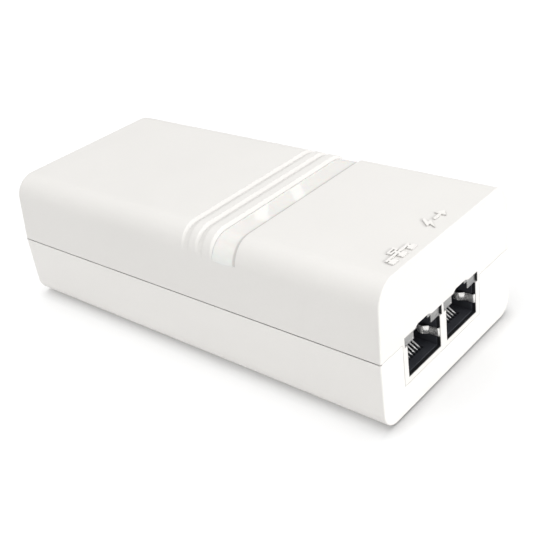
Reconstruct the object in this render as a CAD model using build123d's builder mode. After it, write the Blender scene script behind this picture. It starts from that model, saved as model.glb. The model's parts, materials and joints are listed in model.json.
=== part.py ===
"""Two-port power-over-Ethernet injector: clam-shell case, mains inlet, power
supply board and two shielded modular jacks.

Millimetres, +Z up. Origin: middle of the footprint on the resting plane.
The jacks are at the -Y end, the mains inlet is at the +Y end.
"""

import os
from math import hypot, radians, tan

from build123d import *

os.makedirs("parts", exist_ok=True)

# ---------------------------------------------------------------- dimensions
# case
WIDTH = 52.0            # across the parting line
LENGTH = 114.0
BASE_Z = 0.4            # underside of the case; the feet reach down to 0
TOP_Z = 34.4
PART_LO = 17.1          # top edge of the lower cover
PART_HI = 17.35         # bottom edge of the upper cover
PART_MID = 17.2         # the upper walls lean in above this height
SIDE_LEAN = 1.0         # inward lean of the upper sides at the top
BACK_LEAN = 1.2         # inward lean of the upper +Y face at the top
TOP_R = 5.7
BOTTOM_R = 4.2
PORT_END_R = 0.35       # rounding around the -Y face
INLET_END_R = 0.9       # rounding around the +Y face
WALL = 2.0
PORT_WALL = 1.6
HALF_W = WIDTH / 2
HALF_L = LENGTH / 2
FLOOR_Z = BASE_Z + WALL
CEIL_Z = TOP_Z - WALL
PORT_IN = -HALF_L + PORT_WALL      # inner face of the port wall
BACK_IN = HALF_L - WALL            # inner face of the inlet wall

# lip of the lower cover and the rebate around it
LIP_T = 0.9
LIP_H = 1.6
PORT_LIP_T = 0.75
REBATE_INSET = 1.0                 # wall left outside the rebate
PORT_REBATE = 0.85

# tongue of the upper cover that carries the jack openings
TONGUE_X = (-18.3, 12.1)
TONGUE_Z = 7.2
SEAM = 0.08

# grooves and window band across the top
GROOVE_D = 0.68
GROOVES = (-6.95, -11.15)          # -Y edge of each groove
STEP_RUN = 0.16                    # steep -Y flank
GROOVE_FLOOR = 1.4
SLOPE_RUN = 0.74                   # gentle +Y flank
CUT_RISE = 0.2                     # height at which the cutters start, above the top
BAND = (-20.7, -13.95)             # Y span
BAND_T = 0.8
BAND_CUT_D = 0.70
POCKET_D = BAND_CUT_D + BAND_T
BAND_GAP = 0.02
BAND_LOW_Z = 29.0                  # the band pocket stops here on the sides
FADE_Z = 27.6                      # the grooves run out on the sides here
FADE_ANGLE = 5.2
FADE_DROP = 1.1

# jacks
JACKS = (("lan", -10.55), ("poe", 4.3))
JACK_Y = -56.6                     # -Y face of the shields
JACK_D = 21.3
SHIELD_HALF = 7.25
SHIELD_T = 0.25
SHIELD_TOP = 19.95
HOUSING_HALF = SHIELD_HALF - SHIELD_T
HOUSING_TOP = SHIELD_TOP - SHIELD_T
POCKET_GAP = 0.2
POCKET_X = (JACKS[0][1] - SHIELD_HALF - POCKET_GAP, JACKS[1][1] + SHIELD_HALF + POCKET_GAP)
FACE_WALL = 0.35                   # wall left in front of the shields
POCKET_Y = (-HALF_L + FACE_WALL, PORT_IN + 0.2)
CAVITY_BACK = -43.3
PORT_HALF = 6.2                    # opening in the case
PORT_Z = (8.5, 16.2)
PLUG_HALF = 5.9                    # cavity in the jack
PLUG_Z = (8.84, 16.2)
COLLAR_Y = -56.95                  # collar that fills the opening
BAND_HALF = 7.05                   # wider part of the opening, at the latch plates
BAND_TOP = 18.6
NOTCH_HALF = 1.95
NOTCH_TOP = 19.2
NOTCH_BEVEL = 1.2
PLATE_HALF = 6.75
LATCH_HALF = 3.35
LATCH_TOP = 18.0
KEY_HALF = 2.1                     # narrow slot above the latch opening
CONTACT_PITCH = 1.016

# circuit board
PCB_Z = (5.0, 6.6)
PCB_TOP = PCB_Z[1]
TAIL_Z = 3.7                       # tips of the component leads

# (x, y) places of the fixings
SCREWS = [(x, y) for y in (-30.0, 48.0) for x in (-19.2, 19.2)]
FEET = [(x, y) for y in (-46.0, 37.0) for x in (-16.3, 16.3)]
PCB_SCREWS = ((-19.8, 0.5), (19.8, -8.0))
SUPPORTS = ((-20.2, -48.0), (20.2, -48.0), (-20.8, 13.0), (20.8, 30.0))
FOOT_POCKET = 0.7
LABEL_POCKET = 0.2

# status lights
LIGHTS_X = (14.0, 18.0)
LIGHT_Y = -17.3

# mains inlet: (name, x, z) of each pin
INLET_Z = 17.6
INLET_PINS = (
    ("inlet_line_pin", -7.0, INLET_Z - 2),
    ("inlet_neutral_pin", 7.0, INLET_Z - 2),
    ("inlet_earth_pin", 0.0, INLET_Z + 2),
)
INLET_GAP = 0.15

board_holes = []        # (x, y, radius) through the circuit board
board_slots = []        # (x span, y span) through the circuit board


# ------------------------------------------------------------------- helpers
def around(centre, half):
    return centre - half, centre + half


def beside(centre, side, near, far):
    """Span from `near` to `far` on one side (-1 or 1) of `centre`."""
    return sorted((centre + side * near, centre + side * far))


def to_side(x, reach):
    """Span from x to the side of the case that x is nearest to."""
    return sorted((x, reach if x > 0 else -reach))


def block(x, y, z, mode=Mode.ADD):
    with Locations(((x[0] + x[1]) / 2, (y[0] + y[1]) / 2, (z[0] + z[1]) / 2)):
        Box(x[1] - x[0], y[1] - y[0], z[1] - z[0], mode=mode)


def cut_block(x, y, z):
    block(x, y, z, mode=Mode.SUBTRACT)


def post(x, y, z, radius, mode=Mode.ADD):
    with Locations((x, y, (z[0] + z[1]) / 2)):
        Cylinder(radius, z[1] - z[0], mode=mode)


def posts(places, z, radius, mode=Mode.ADD):
    for x, y in places:
        post(x, y, z, radius, mode=mode)


def ring(x, y, z, outer, inner):
    post(x, y, z, outer)
    post(x, y, (z[0] - 1, z[1] + 1), inner, mode=Mode.SUBTRACT)


def rod_x(x, y, z, radius, mode=Mode.ADD):
    with Locations(Location(((x[0] + x[1]) / 2, y, z), (0, 90, 0))):
        Cylinder(radius, x[1] - x[0], mode=mode)


def rod_y(x, y, z, radius):
    with Locations(Location((x, (y[0] + y[1]) / 2, z), (90, 0, 0))):
        Cylinder(radius, y[1] - y[0])


def tails(all_x, all_y, radius=0.4, top=PCB_TOP + 0.5):
    """Grid of leads, each with its hole in the board."""
    for x in all_x:
        for y in all_y:
            post(x, y, (TAIL_Z, top), radius)
            board_holes.append((x, y, radius + 0.1))


def cross_recess(x, y, reach, half_slot, z):
    cut_block(around(x, reach), around(y, half_slot), z)
    cut_block(around(x, half_slot), around(y, reach), z)


def edge_notch(x, y, radius, z):
    """Round-ended notch from (x, y) out through the near side."""
    post(x, y, z, radius, mode=Mode.SUBTRACT)
    cut_block(to_side(x, 24), around(y, radius), z)


def rect(x, y, width, height, mode=Mode.ADD):
    with Locations((x, y)):
        Rectangle(width, height, mode=mode)


def symmetric(x, right_half):
    """Outline mirrored about x; `right_half` is (offset, z), bottom to top."""
    Polygon(
        *[(x + offset, z) for offset, z in right_half],
        *[(x - offset, z) for offset, z in reversed(right_half)],
        align=None,
    )


def plane_at(y):
    """Upright plane at y; extrusions from it run toward -Y."""
    return Plane.XZ.offset(-y)


def above(sketch, height):
    return [v for v in sketch.vertices() if v.Y > height]


def below(sketch, height):
    return [v for v in sketch.vertices() if v.Y < height]


def save(built, node):
    built.part.label = node
    export_step(built.part, "parts/" + node + ".step")


def side_x(z):
    return HALF_W - max(z - PART_MID, 0.0) / (TOP_Z - PART_MID) * SIDE_LEAN


def upper_outline(low_z):
    symmetric(0, [(side_x(low_z), low_z), (HALF_W - SIDE_LEAN, TOP_Z)])


def lean_outline(base_y):
    """YZ wedge outside a +Y wall that leans in above PART_MID."""
    high = TOP_Z + 2
    lean = BACK_LEAN * (high - PART_MID) / (TOP_Z - PART_MID)
    Polygon(
        (base_y, PART_MID), (base_y + 5, PART_MID), (base_y + 5, high), (base_y - lean, high),
        align=None,
    )


def round_ends(cover, low_z, high_z):
    """Round the cover's two end faces, on edges between the heights."""
    for end, radius in ((0, PORT_END_R), (-1, INLET_END_R)):
        face = cover.faces().sort_by(Axis.Y)[end]
        fillet(face.edges().filter_by_position(Axis.Z, low_z, high_z), radius)


def top_line(depth):
    """Draw the line that follows the top `depth` below it; return its foot."""
    run = tan(radians(FADE_ANGLE))
    fade_x = side_x(FADE_Z)
    corner_x = fade_x - (TOP_Z - GROOVE_D - FADE_Z) * run
    foot_x = fade_x + FADE_DROP * run
    foot_z = FADE_Z - FADE_DROP - depth + GROOVE_D
    top = TOP_Z - depth
    FilletPolyline(
        (-foot_x, foot_z), (-corner_x, top), (corner_x, top), (foot_x, foot_z), radius=TOP_R
    )
    return foot_x, foot_z


def over_top(depth):
    """Face outside the top of the case, following it `depth` below."""
    with BuildLine() as rim:
        foot_x, foot_z = top_line(depth)
        Polyline(
            (foot_x, foot_z), (30, foot_z), (30, 38), (-30, 38), (-30, foot_z), (-foot_x, foot_z)
        )
    make_face(rim.edges())


def top_cutter(stations):
    """Cutter across the top through (y, depth) stations."""
    with BuildPart() as cutter:
        for (y0, depth0), (y1, depth1) in zip(stations[:-1], stations[1:]):
            with BuildSketch(plane_at(y1)):
                over_top(depth1)
            extrude(amount=hypot(y1 - y0, depth1 - depth0), dir=(0, y0 - y1, depth1 - depth0))
    return cutter.part


def groove_stations(start):
    floor_start = start + STEP_RUN
    floor_end = floor_start + GROOVE_FLOOR
    end = floor_end + SLOPE_RUN
    return [
        (start - STEP_RUN * CUT_RISE / GROOVE_D, -CUT_RISE),
        (floor_start, GROOVE_D),
        (floor_end, GROOVE_D),
        (end + SLOPE_RUN * CUT_RISE / GROOVE_D, -CUT_RISE),
    ]


def inlet_outline(grow=0.0, half_width=13.6, half_height=9.6, bevel=5.5):
    """Inlet outline with its upper corners bevelled."""
    half = half_width + grow
    low, high = around(INLET_Z, half_height + grow)
    symmetric(0, [(half, low), (half, high - bevel), (half - bevel, high)])


# ---------------------------------------------------------- surface cutters
groove_cutters = [top_cutter(groove_stations(start)) for start in GROOVES]
band_stations = [       # (y, depth)
    (BAND[0] - 0.22, -CUT_RISE),
    (BAND[0], 0.45),
    (-18.6, 0.58),
    (-16.2, 0.68),
    (BAND[1], BAND_CUT_D),
    (BAND[1] + 0.90, -CUT_RISE),
]
band_cutter = top_cutter(band_stations)

# ------------------------------------------------------------------ cavities
with BuildPart() as cavity:
    with BuildSketch(plane_at(BACK_IN)) as hollow:
        symmetric(0, [
            (HALF_W - WALL, FLOOR_Z), (HALF_W - WALL, PART_MID),
            (HALF_W - SIDE_LEAN - WALL, CEIL_Z),
        ])
        fillet(above(hollow, CEIL_Z - 0.1), TOP_R - WALL)
        fillet(below(hollow, FLOOR_Z + 0.1), BOTTOM_R - WALL)
    extrude(amount=BACK_IN - PORT_IN)
    with BuildSketch(Plane.YZ.offset(-40)):
        lean_outline(BACK_IN)
    extrude(amount=80, mode=Mode.SUBTRACT)

# --------------------------------------------------------------- upper cover
TONGUE = (TONGUE_X, (-HALF_L, PORT_IN), (TONGUE_Z, PART_HI + 0.4))
REBATE_X = HALF_W - REBATE_INSET
REBATE_Z = (PART_HI - 1, PART_HI + LIP_H)
TREE_X = -12.7                     # middle of the network symbol
BRANCHES_X = (TREE_X - 3.3, TREE_X, TREE_X + 3.3)
BOLT = (                           # (x, y)
    (1.0, -50.4), (-0.9, -52.7), (0.2, -52.7), (-0.6, -54.4),
    (1.9, -51.9), (0.8, -51.9), (2.0, -50.4),
)
ARROW_Y = -52.3

with BuildPart() as upper_cover:
    with BuildSketch(plane_at(HALF_L)) as upper_shell:
        upper_outline(PART_HI)
        fillet(above(upper_shell, TOP_Z - 0.1), TOP_R)
    extrude(amount=LENGTH)
    with BuildSketch(Plane.YZ.offset(-40)):
        lean_outline(HALF_L)
    extrude(amount=80, mode=Mode.SUBTRACT)
    round_ends(upper_cover, PART_HI + 0.1, 40)
    add(cavity.part, mode=Mode.SUBTRACT)
    block(*TONGUE)
    # rebate over the lip of the lower cover
    cut_block((-REBATE_X, REBATE_X), (PORT_IN - 0.1, BACK_IN + 1.0), REBATE_Z)
    for span in ((-REBATE_X, TONGUE_X[0] - 0.02), (TONGUE_X[1] + 0.02, REBATE_X)):
        cut_block(span, (PORT_IN - PORT_REBATE, PORT_IN), REBATE_Z)
    # restore the tongue where the rebate crossed it
    block(*TONGUE)
    # screw pillars with webs to the side walls
    for x, y in SCREWS:
        post(x, y, (9.5, CEIL_Z + 0.5), 3.5)
        block(to_side(x, HALF_W - 2.2), around(y, 0.6), (21.0, CEIL_Z))
    # hold-down ribs over the jacks and over the inlet
    for y in (-49.5, -41.0):
        block((-17.6, 11.4), around(y, 0.6), (SHIELD_TOP + 0.1, CEIL_Z + 0.5))
    for x in (-9.0, 9.0):
        block(around(x, 0.6), (40.0, 52.0), (27.3, CEIL_Z + 0.5))
    # pad under the window band
    block((-20.0, 20.0), (BAND[0] - 1.2, BAND[1] + 1.2), (CEIL_Z - 1.0, CEIL_Z + 0.3))
    posts(SCREWS, (9.0, 24.0), 1.5, mode=Mode.SUBTRACT)
    # pocket behind the face for the shields, then the jack openings
    cut_block(POCKET_X, POCKET_Y, (5.0, 20.1))
    with BuildSketch(plane_at(PORT_IN + 0.3)):
        for _, jack_x in JACKS:
            symmetric(jack_x, [
                (PORT_HALF, PORT_Z[0]), (PORT_HALF, PORT_Z[1]),
                (BAND_HALF, PORT_Z[1]), (BAND_HALF, BAND_TOP),
                (NOTCH_HALF + NOTCH_BEVEL, BAND_TOP), (NOTCH_HALF, NOTCH_TOP),
            ])
    extrude(amount=PORT_WALL + 1, mode=Mode.SUBTRACT)
    # inlet opening
    with BuildSketch(plane_at(HALF_L + 1)):
        inlet_outline(INLET_GAP)
    extrude(amount=WALL + 4.5, mode=Mode.SUBTRACT)
    # grooves, band recess and band pocket
    for groove_cutter in groove_cutters:
        add(groove_cutter, mode=Mode.SUBTRACT)
    add(band_cutter, mode=Mode.SUBTRACT)
    with BuildSketch(plane_at(BAND[1])):
        over_top(POCKET_D)
        rect(0, BAND_LOW_Z - 10, 70, 20, mode=Mode.SUBTRACT)
    extrude(amount=BAND[1] - BAND[0], mode=Mode.SUBTRACT)
    for x in LIGHTS_X:
        post(x, LIGHT_Y, (CEIL_Z - 2, TOP_Z), 1.55, mode=Mode.SUBTRACT)
    # raised symbols: network tree by the first jack, power bolt by the second
    with BuildSketch(Plane.XY.offset(TOP_Z - 0.2)):
        rect(TREE_X, -53.3, 8.2, 0.6)
        rect(TREE_X, -52.85, 0.6, 0.8)
        for x in BRANCHES_X:
            rect(x, -53.6, 0.6, 0.8)
        rect(TREE_X, -52.1, 2.6, 1.2)
        for x in BRANCHES_X:
            rect(x, -54.5, 2.0, 1.2)
        rect(TREE_X, -52.1, 1.4, 0.45, mode=Mode.SUBTRACT)
        Polygon(*BOLT, align=None)
        rect(3.9, ARROW_Y, 3.0, 0.6)
        Polygon((4.9, ARROW_Y + 1.4), (6.7, ARROW_Y), (4.9, ARROW_Y - 1.4), align=None)
    extrude(amount=0.5)
save(upper_cover, "upper_cover")

# --------------------------------------------------------------- lower cover
BOSS_TOP = 9.4
SCREW_SEAT_Z = 6.4                 # top of the counterbores for the case screws
LIP_X = HALF_W - WALL + LIP_T

with BuildPart() as lower_cover:
    with BuildSketch(plane_at(HALF_L)) as lower_shell:
        symmetric(0, [(HALF_W, BASE_Z), (HALF_W, PART_LO)])
        fillet(below(lower_shell, BASE_Z + 0.1), BOTTOM_R)
    extrude(amount=LENGTH)
    round_ends(lower_cover, -1, PART_LO - 0.1)
    # lip that locates the upper cover
    block(
        (-LIP_X, LIP_X), (PORT_IN - PORT_LIP_T, BACK_IN + LIP_T), (PART_LO - 0.5, PART_LO + LIP_H)
    )
    add(cavity.part, mode=Mode.SUBTRACT)
    cut_block((-HALF_W + WALL, HALF_W - WALL), (PORT_IN, BACK_IN), (PART_LO - 1, PART_LO + 3))
    # screw bosses, board stand-offs and supports
    posts(SCREWS, (FLOOR_Z - 0.5, BOSS_TOP), 4.3)
    posts(PCB_SCREWS, (FLOOR_Z - 0.5, PCB_Z[0]), 2.6)
    posts(SUPPORTS, (FLOOR_Z - 0.5, PCB_Z[0]), 2.0)
    for x, y in SCREWS:
        post(x, y, (BASE_Z - 1, SCREW_SEAT_Z), 3.2, mode=Mode.SUBTRACT)
        post(x, y, (6.0, 10.0), 1.7, mode=Mode.SUBTRACT)
    posts(PCB_SCREWS, (1.4, PCB_Z[0] + 1), 1.1, mode=Mode.SUBTRACT)
    # clearance for the tongue and the shields
    cut_block(
        (TONGUE_X[0] - SEAM, TONGUE_X[1] + SEAM), (-HALF_L - 1, PORT_IN + 0.05),
        (TONGUE_Z - SEAM, PART_LO + 4),
    )
    cut_block(POCKET_X, POCKET_Y, (6.5, 8.0))
    # tight joint line across the port face
    for span in ((-HALF_W + 0.4, TONGUE_X[0] - SEAM), (TONGUE_X[1] + SEAM, HALF_W - 0.4)):
        block(span, (-HALF_L, PORT_IN - PORT_REBATE), (PART_LO - 0.3, PART_HI - 0.06))
    # inlet opening
    with BuildSketch(plane_at(HALF_L + 1)):
        inlet_outline(INLET_GAP)
    extrude(amount=WALL + 3, mode=Mode.SUBTRACT)
    # pockets for the feet and the rating label
    posts(FEET, (BASE_Z - 1, BASE_Z + FOOT_POCKET), 4.5, mode=Mode.SUBTRACT)
    cut_block((-15.0, 15.0), (-22.0, 22.0), (BASE_Z - 1, BASE_Z + LABEL_POCKET))
save(lower_cover, "lower_cover")

# --------------------------------------------------------------- window band
with BuildPart() as status_band:
    with BuildSketch(plane_at(BAND[1] - BAND_GAP)) as band_shell:
        upper_outline(20)
        fillet(above(band_shell, TOP_Z - 0.1), TOP_R)
        with BuildLine():
            foot_x, foot_z = top_line(POCKET_D - 2 * BAND_GAP)
            Polyline((foot_x, foot_z), (foot_x, 10), (-foot_x, 10), (-foot_x, foot_z))
        make_face(mode=Mode.SUBTRACT)
        rect(0, BAND_LOW_Z + 0.05 - 10, 70, 20, mode=Mode.SUBTRACT)
    extrude(amount=BAND[1] - BAND[0] - 2 * BAND_GAP)
    add(band_cutter, mode=Mode.SUBTRACT)
save(status_band, "status_band")

# ---------------------------------------------------------- feet, label, screws
with BuildPart() as rubber_feet:
    posts(FEET, (0.0, BASE_Z + FOOT_POCKET), 4.4)
    fillet(rubber_feet.faces().group_by(Axis.Z)[0].edges(), 0.3)
save(rubber_feet, "rubber_feet")

with BuildPart() as rating_label:
    block((-14.8, 14.8), (-21.8, 21.8), (BASE_Z + 0.05, BASE_Z + LABEL_POCKET))
save(rating_label, "rating_label")

with BuildPart() as case_screws:
    for x, y in SCREWS:
        post(x, y, (SCREW_SEAT_Z - 2, SCREW_SEAT_Z), 2.8)
        post(x, y, (6.0, 20.0), 1.45)
    for x, y in SCREWS:
        cross_recess(x, y, 1.6, 0.3, (4.0, 5.4))
save(case_screws, "case_screws")

with BuildPart() as pcb_screws:
    for x, y in PCB_SCREWS:
        post(x, y, (PCB_TOP, PCB_TOP + 1.5), 2.3)
        post(x, y, (2.0, PCB_TOP + 0.5), 1.05)
    for x, y in PCB_SCREWS:
        cross_recess(x, y, 1.3, 0.25, (PCB_TOP + 0.8, 9.0))
save(pcb_screws, "pcb_screws")

# --------------------------------------------------------------------- jacks
HOUSE_Y = (JACK_Y + 0.3, JACK_Y + JACK_D - 0.3)
MOUTH_Y = -58                      # cuts into the mouth start here
PEG_X = 5.4
PEG_Y = -47.0
PEG_R = 1.55
PIN_ROWS_Y = (-38.5, -41.04)       # even and odd contacts
WIRE_HALF = 0.23
WIRE_SLOT = 0.31                   # half width of the slots for the wires
WIRE_TOP = 7.9
HINGE = (-53.1, 8.25)              # (y, z) of the -Y bend of the contact wires
GROUND_Z = (11.1, 13.15)
GROUND_PATH = (                    # (offset from the jack's middle, y)
    (6.27, -56.5), (6.04, -56.72), (5.84, -56.4), (5.84, -54.4),
    (5.3, -53.5), (5.0, -52.8), (5.45, -51.6),
)


def jack_housing(jack_x, pins):
    with BuildPart() as housing:
        block(around(jack_x, HOUSING_HALF), HOUSE_Y, (PCB_TOP, HOUSING_TOP))
        # collar round the mouth, nearly flush with the case
        collar_y = (COLLAR_Y, HOUSE_Y[0] + 0.1)
        block(around(jack_x, PORT_HALF - 0.04), collar_y, (PORT_Z[0] + 0.04, 16.15))
        for side in (-1, 1):
            block(beside(jack_x, side, 6.83, 6.99), collar_y, (PLUG_Z[1] + 0.05, BAND_TOP - 0.05))
        for x in around(jack_x, PEG_X):
            post(x, PEG_Y, (4.4, PCB_TOP + 0.2), PEG_R)
            board_holes.append((x, PEG_Y, PEG_R + 0.05))
        # plug cavity, relief at its mouth, latch opening and key slot
        cut_block(around(jack_x, PLUG_HALF), (MOUTH_Y, CAVITY_BACK), PLUG_Z)
        cut_block(
            around(jack_x, PLUG_HALF + 0.09), (MOUTH_Y, -56.15), (PLUG_Z[0] - 0.1, PLUG_Z[1])
        )
        cut_block(around(jack_x, LATCH_HALF), (MOUTH_Y, CAVITY_BACK), (PLUG_Z[0] + 2, LATCH_TOP))
        cut_block(around(jack_x, KEY_HALF), (MOUTH_Y, JACK_Y + 7), (17.5, NOTCH_TOP))
        for x, y in pins:
            slot = around(x, WIRE_SLOT)
            cut_block(slot, (-54.2, CAVITY_BACK), (7.6, PLUG_Z[0] + 0.1))
            cut_block(slot, (CAVITY_BACK - 0.1, y + 0.2), (7.6, 8.0))
            cut_block(slot, around(y, 0.2), (6.0, 8.0))
            # comb that guides the free ends of the wires
            cut_block(slot, (CAVITY_BACK - 0.1, CAVITY_BACK + 1.0), (10.4, 13.4))
        for side in (-1, 1):
            cut_block(
                beside(jack_x, side, PLUG_HALF - 0.2, 6.75), (MOUTH_Y, -50.4),
                (GROUND_Z[0] - 0.2, GROUND_Z[1] + 0.2),
            )
    return housing


def jack_shield(jack_x):
    plate_slot = (PLATE_HALF, 7.02)
    roll_y = JACK_Y + 0.08
    with BuildPart() as shield:
        block(around(jack_x, SHIELD_HALF), (JACK_Y, JACK_Y + JACK_D), (PCB_TOP + 0.1, SHIELD_TOP))
        cut_block(
            around(jack_x, HOUSING_HALF), (JACK_Y + SHIELD_T, JACK_Y + JACK_D - SHIELD_T),
            (6.0, HOUSING_TOP),
        )
        with BuildSketch(plane_at(JACK_Y + 0.3)):
            symmetric(jack_x, [
                (PORT_HALF, PORT_Z[0]), (PORT_HALF, PLUG_Z[1]),
                (LATCH_HALF, PLUG_Z[1]), (LATCH_HALF, LATCH_TOP),
                (KEY_HALF, LATCH_TOP), (KEY_HALF, NOTCH_TOP),
            ])
            # windows for the ground springs and slots beside the latch plates
            rect(jack_x, sum(GROUND_Z) / 2, 2 * 6.33, GROUND_Z[1] - GROUND_Z[0] + 0.3)
            for side in (-1, 1):
                rect(
                    jack_x + side * sum(plate_slot) / 2, (PLUG_Z[1] + BAND_TOP) / 2,
                    plate_slot[1] - plate_slot[0], BAND_TOP - PLUG_Z[1] + 0.1,
                )
        extrude(amount=0.8, mode=Mode.SUBTRACT)
        # rolled edges of the latch plates
        for side in (-1, 1):
            plate_edge = beside(jack_x, side, LATCH_HALF - 0.05, PLATE_HALF - 0.02)
            rod_x(plate_edge, roll_y, PLUG_Z[1] + 0.14, 0.2)
            rod_x(beside(jack_x, side, KEY_HALF, LATCH_HALF - 0.05), roll_y, 18.12, 0.16)
            post(jack_x + side * (LATCH_HALF + 0.1), roll_y, (PLUG_Z[1] + 0.12, 18.1), 0.18)
        # tabs through the board
        for side in (-1, 1):
            for y in (-50.6, -39.6):
                tab_x = beside(jack_x, side, HOUSING_HALF, SHIELD_HALF)
                block(tab_x, around(y, 0.6), (TAIL_Z, PCB_TOP + 0.4))
                board_slots.append((
                    beside(jack_x, side, HOUSING_HALF - 0.1, SHIELD_HALF + 0.1), around(y, 0.7)
                ))
    return shield


def contact_leads(pins):
    with BuildPart() as leads:
        for x, y in pins:
            block(around(x, WIRE_HALF), (HINGE[0], y + 0.15), (7.6, WIRE_TOP))
            block(around(x, WIRE_HALF), around(y, 0.15), (TAIL_Z, WIRE_TOP))
    return leads


def contact_springs(pins):
    with BuildPart() as springs:
        for x, _ in pins:
            with BuildSketch(Plane.YZ.offset(x - WIRE_HALF)):
                with BuildLine():
                    Polyline(HINGE, (-46.8, 12.5), (-45.2, 12.5))
                trace(line_width=0.3)
                with Locations(HINGE):
                    Circle(0.28)
            extrude(amount=2 * WIRE_HALF)
    return springs


def ground_spring(jack_x, side):
    with BuildPart() as spring:
        with BuildSketch(Plane.XY.offset(GROUND_Z[0])):
            with BuildLine():
                Polyline(*[(jack_x + side * offset, y) for offset, y in GROUND_PATH])
            trace(line_width=0.15)
        extrude(amount=GROUND_Z[1] - GROUND_Z[0])
    return spring


for name, jack_x in JACKS:
    pins = [(jack_x + (i - 3.5) * CONTACT_PITCH, PIN_ROWS_Y[i % 2]) for i in range(8)]
    for x, y in pins:
        board_holes.append((x, y, 0.4))
    save(jack_housing(jack_x, pins), name + "_jack_housing")
    save(jack_shield(jack_x), name + "_jack_shield")
    save(contact_leads(pins), name + "_contact_leads")
    save(contact_springs(pins), name + "_contact_springs")
    save(ground_spring(jack_x, -1), name + "_ground_spring_left")
    save(ground_spring(jack_x, 1), name + "_ground_spring_right")

# --------------------------------------------------------------- mains inlet
with BuildPart() as inlet_housing:
    with BuildSketch(plane_at(HALF_L)):
        inlet_outline()
    extrude(amount=21.0)
    # flanges inside the case wall
    block((-15.2, 15.2), (52.7, 54.0), (7.0, 21.0))
    block((-8.0, 8.0), (52.7, 54.0), (25.0, 28.4))
    for x in (-10.0, 10.0):
        post(x, 45.0, (4.4, 8.5), 1.5)
        board_holes.append((x, 45.0, 1.55))
    # socket
    with BuildSketch(plane_at(HALF_L + 1)):
        inlet_outline(half_width=12.25, half_height=8.25, bevel=4.9)
    extrude(amount=18.0, mode=Mode.SUBTRACT)
    for _, x, z in INLET_PINS:
        cut_block(around(x, 1), (30, 45), around(z, 2))
save(inlet_housing, "inlet_housing")

for name, x, z in INLET_PINS:
    with BuildPart() as pin:
        block(around(x, 1), (34.2, 55.4), around(z, 2))
        chamfer(pin.faces().sort_by(Axis.Y)[-1].edges(), 0.6)
        block(around(x, 0.5), (34.2, 35.0), (TAIL_Z, z))
        board_slots.append((around(x, 0.6), (34.1, 35.1)))
    save(pin, name)

# ---------------------------------------------------------- mains components
with BuildPart() as fuse:
    block(around(-18.2, 2.0), around(38.6, 4.0), (PCB_TOP, 14.4))
    fillet(fuse.edges().filter_by(Axis.Z), 0.8)
    tails((-18.2,), around(38.6, 2.5))
save(fuse, "fuse")

with BuildPart() as inrush_thermistor:
    rod_x(around(18.4, 1.7), 38.0, 12.4, 4.4)
    tails((18.4,), around(38.0, 2.5), top=9.8)
save(inrush_thermistor, "inrush_thermistor")

with BuildPart() as varistor:
    rod_x(around(-19.9, 1.7), 27.9, 13.0, 4.9)
    tails((-19.9,), around(27.9, 2.7), top=9.8)
save(varistor, "varistor")

with BuildPart() as x_capacitor:
    block(around(-8.6, 8.0), around(29.0, 4.0), (PCB_TOP, 21.0))
    fillet(x_capacitor.edges().filter_by(Axis.Z), 0.5)
    tails(around(-8.6, 6.4), (29.0,))
save(x_capacitor, "x_capacitor")

CHOKE_X, CHOKE_Y = 9.3, 24.2
CORE_RING = (CHOKE_X, CHOKE_Y, (10.0, 16.0), 8.0, 4.2)
with BuildPart() as choke_core:
    ring(*CORE_RING)
    fillet(choke_core.edges(), 0.6)
save(choke_core, "choke_core")

with BuildPart() as choke_windings:
    ring(CHOKE_X, CHOKE_Y, (9.1, 16.9), 8.9, 3.3)
    fillet(choke_windings.edges(), 0.7)
    with BuildPart(mode=Mode.PRIVATE) as core_space:
        ring(*CORE_RING)
    add(core_space.part, mode=Mode.SUBTRACT)
    # gap between the two windings
    cut_block(around(CHOKE_X, 2.6), (10, 40), (8, 18))
    tails(around(CHOKE_X, 5.4), around(CHOKE_Y, 3.0), 0.5, 9.6)
save(choke_windings, "choke_windings")

with BuildPart() as bridge_rectifier:
    block((-19.3, -4.7), (19.4, 22.8), (9.4, 21.0))
    # one upper corner is bevelled
    chamfer(bridge_rectifier.edges().filter_by(Axis.Y).sort_by(Axis.Z)[-1:], 2.5)
    tails([-17.7 + i * 3.8 for i in range(4)], (21.1,), 0.45, 10.0)
save(bridge_rectifier, "bridge_rectifier")

BULK_X, BULK_Y = -12.5, 9.8
BULK_PROFILE = (                   # (radius, z)
    (0, PCB_TOP), (8.0, PCB_TOP), (8.0, 8.0), (7.6, 8.5), (8.0, 9.0), (8.0, 30.9),
    (7.5, 31.4), (6.6, 31.4), (6.6, 31.1), (0, 31.1),
)
with BuildPart() as bulk_capacitor:
    with BuildSketch(plane_at(BULK_Y)):
        with Locations((BULK_X, 0)):
            Polygon(*BULK_PROFILE, align=None)
    revolve(axis=Axis((BULK_X, BULK_Y, 0), (0, 0, 1)))
    tails(around(BULK_X, 3.75), (BULK_Y,))
save(bulk_capacitor, "bulk_capacitor")

with BuildPart() as y_capacitor:
    rod_y(-9.0, around(-4.5, 1.6), 12.0, 3.9)
    tails(around(-9.0, 2.5), (-4.5,), 0.35, 9.6)
save(y_capacitor, "y_capacitor")

with BuildPart() as optocoupler:
    block(around(-15.5, 1.6), (-6.6, -2.0), (PCB_TOP + 0.6, 10.6))
    tails(around(-15.5, 1.5), (-5.6, -3.1), 0.35, 8.4)
save(optocoupler, "optocoupler")

with BuildPart() as pwm_controller:
    block(around(16.3, 1.85), (-5.5, -0.7), (PCB_TOP + 0.1, PCB_TOP + 1.6))
    for i in range(4):
        block(around(16.3, 2.85), around(-5.0 + i * 1.27, 0.2), (PCB_TOP, PCB_TOP + 0.3))
save(pwm_controller, "pwm_controller")

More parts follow.
